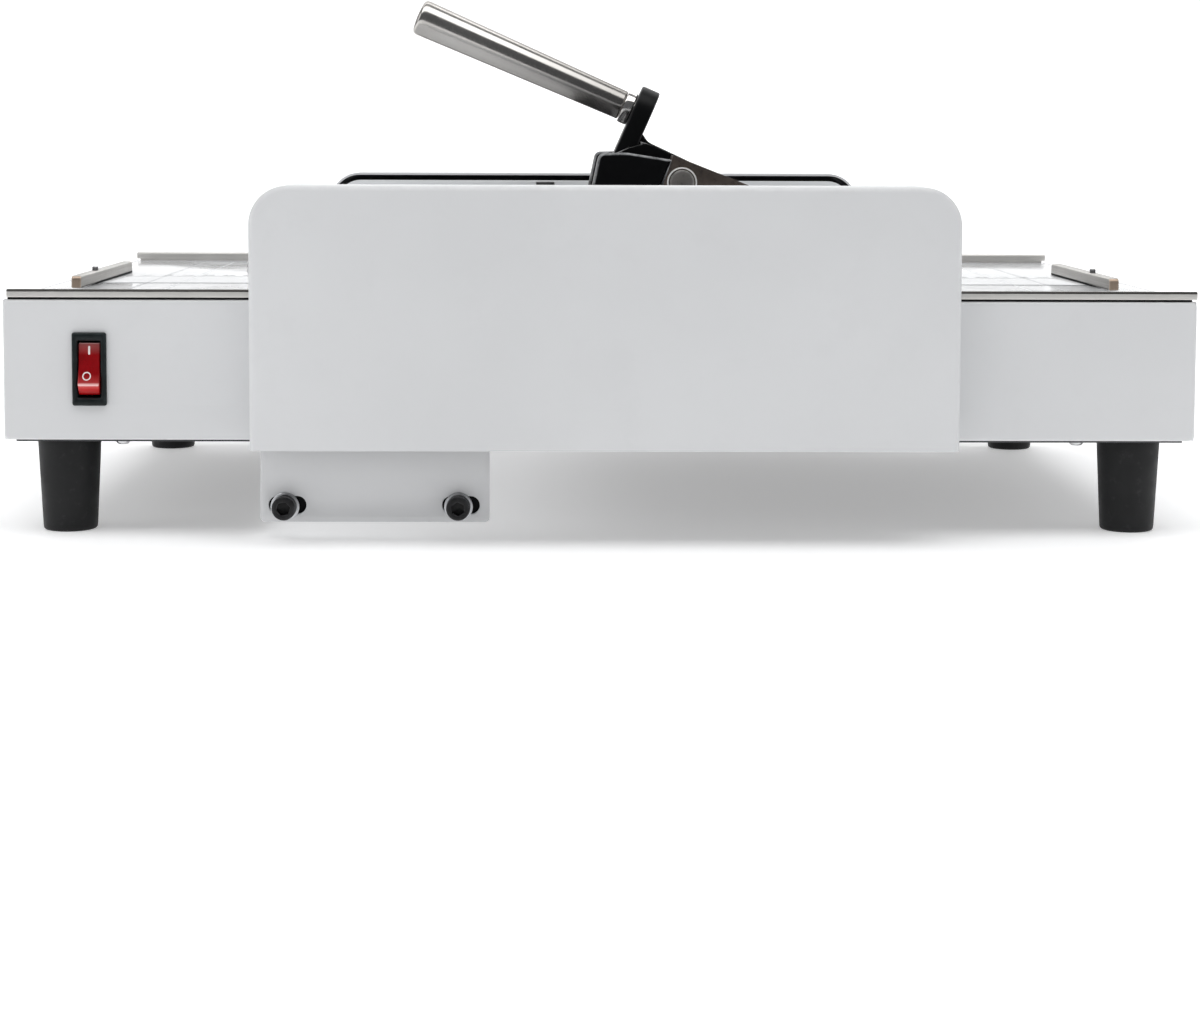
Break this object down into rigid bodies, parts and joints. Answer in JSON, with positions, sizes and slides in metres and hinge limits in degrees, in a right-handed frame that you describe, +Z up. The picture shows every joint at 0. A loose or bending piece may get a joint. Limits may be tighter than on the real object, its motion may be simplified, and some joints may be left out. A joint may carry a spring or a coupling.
{
  "type": "booklet maker",
  "caption": "Desk-top booklet maker: hand-lever saddle stapler over a printed table with sliding paper stops, and a motor-driven knife and roller folding unit.",
  "frame": {"origin": "on the desk, under the middle of the machine", "axes": "+X to the operator's right along the machine, +Y to the back, +Z up; the switch side faces -Y"},
  "size_m": [0.5, 0.39, 0.2333],
  "materials": {
    "housing_white": "fine powder coat, satin",
    "dark_plate": "dark satin",
    "table_gloss": "high gloss white with thin printed guide lines",
    "stainless": "brushed",
    "frame_grey": "satin grey",
    "screw_steel": "bright zinc",
    "bracket_grey": "satin grey",
    "black_oxide": "black oxide",
    "foot_black": "moulded, soft matte",
    "zinc_steel": "zinc plated",
    "tool_steel": "ground",
    "ground_steel": "ground and polished",
    "black_plastic": "moulded",
    "motor_paint": "satin",
    "coil_black": "moulded coil and steel frame",
    "rating_silver": "brushed silver foil, bare",
    "spring_steel": "drawn wire",
    "gunmetal": "tumbled gunmetal",
    "head_black": "black with worn bright edges",
    "pin_steel": "tumbled steel",
    "cast_black": "black painted casting",
    "polished_steel": "polished",
    "magazine_steel": "nickel plated",
    "roller_rubber": "ground rubber",
    "gear_nylon": "moulded",
    "gear_steel": "machined",
    "rocker_red": "translucent red, glossy"
  },
  "bodies": {
    "root": {"front_panel": "housing_white", "rear_panel": "housing_white", "left_end_panel": "housing_white", "right_end_panel": "housing_white", "base_plate": "dark_plate", "left_table": "table_gloss", "right_table": "table_gloss", "front_edge_strip": "stainless", "rear_edge_strip": "stainless", "front_frame_plate": "frame_grey", "rear_frame_plate": "frame_grey", "front_cover": "housing_white", "rear_cover": "housing_white", "housing_screws": "screw_steel", "front_exit_bracket": "bracket_grey", "rear_exit_bracket": "bracket_grey", "exit_chute": "bracket_grey", "bracket_bolts": "black_oxide", "feet": "foot_black", "slot_rails": "zinc_steel", "staple_anvils": "tool_steel", "press_shaft": "ground_steel", "shaft_bushes": "black_plastic", "roller_bearings": "ground_steel", "gearmotor": "motor_paint", "solenoids": "coil_black", "switch_housing": "black_plastic", "power_inlet": "black_plastic", "rating_plate": "rating_silver", "knife_springs": "spring_steel"},
    "press": {"press_springs": "spring_steel", "front_press_channel": "gunmetal", "rear_press_channel": "gunmetal", "front_stapler_head": "head_black", "rear_stapler_head": "head_black", "head_pins": "pin_steel", "lever_arm": "cast_black", "lever_collar": "polished_steel", "lever_grip": "polished_steel", "staple_drivers": "tool_steel"},
    "magazines": {"front_magazine": "magazine_steel", "rear_magazine": "magazine_steel"},
    "front_pusher": {"front_pusher": "black_plastic"},
    "rear_pusher": {"rear_pusher": "black_plastic"},
    "knife": {"fold_knife": "tool_steel", "knife_carrier": "zinc_steel", "solenoid_plungers": "zinc_steel"},
    "left_roller": {"left_roller_shaft": "ground_steel", "left_roller_sleeve": "roller_rubber", "left_roller_gear": "gear_nylon"},
    "right_roller": {"right_roller_shaft": "ground_steel", "right_roller_sleeve": "roller_rubber", "right_roller_gear": "gear_nylon", "drive_gear": "gear_steel"},
    "motor_output": {"motor_pinion": "gear_steel"},
    "rocker": {"rocker": "rocker_red"},
    "left_stop": {"left_stop_bar": "stainless", "left_stop_screw": "screw_steel"},
    "right_stop": {"right_stop_bar": "stainless", "right_stop_screw": "screw_steel"}
  },
  "joints": [
    {"name": "press_hinge", "type": "hinge", "parent": "root", "child": "press", "pos_m": [0.115, 0, 0.119], "axis": [0, -1, 0], "range_deg": [0, 12], "stiffness_Nm_per_rad": 4, "springref_deg": -51.57},
    {"name": "magazine_hinge", "type": "hinge", "parent": "root", "child": "magazines", "pos_m": [0.115, 0, 0.119], "axis": [0, -1, 0], "range_deg": [0, 9.6]},
    {"name": "front_pusher_slide", "type": "slide", "parent": "magazines", "child": "front_pusher", "axis": [0.9912, 0, -0.1323], "range_m": [0, 0.06], "stiffness_N_per_m": 30, "springref_m": -0.06},
    {"name": "rear_pusher_slide", "type": "slide", "parent": "magazines", "child": "rear_pusher", "axis": [0.9912, 0, -0.1323], "range_m": [0, 0.06], "stiffness_N_per_m": 30, "springref_m": -0.06},
    {"name": "knife_slide", "type": "slide", "parent": "root", "child": "knife", "axis": [0, 0, -1], "range_m": [0, 0.028], "stiffness_N_per_m": 450, "springref_m": -0.05, "deforming": ["knife_springs"]},
    {"name": "right_roller_spin", "type": "hinge", "parent": "root", "child": "right_roller", "pos_m": [-0.0136, 0, 0.075], "axis": [0, 1, 0], "continuous": true},
    {"name": "left_roller_spin", "type": "hinge", "parent": "root", "child": "left_roller", "pos_m": [-0.0384, 0, 0.075], "axis": [0, 1, 0], "continuous": true},
    {"name": "motor_spin", "type": "hinge", "parent": "root", "child": "motor_output", "pos_m": [0.0064, 0, 0.06711], "axis": [0, 1, 0], "continuous": true},
    {"name": "rocker_switch", "type": "hinge", "parent": "root", "child": "rocker", "pos_m": [-0.214, -0.1616, 0.071], "axis": [1, 0, 0], "range_deg": [0, 14]},
    {"name": "left_stop_slide", "type": "slide", "parent": "root", "child": "left_stop", "axis": [1, 0, 0], "range_m": [0, 0.078]},
    {"name": "right_stop_slide", "type": "slide", "parent": "root", "child": "right_stop", "axis": [-1, 0, 0], "range_m": [0, 0.078]}
  ],
  "couplings": [
    {"joint": "magazine_hinge", "follows": "press_hinge", "ratio": 0.8},
    {"joint": "left_roller_spin", "follows": "right_roller_spin", "ratio": -1},
    {"joint": "motor_spin", "follows": "right_roller_spin", "ratio": -1.5294}
  ]
}
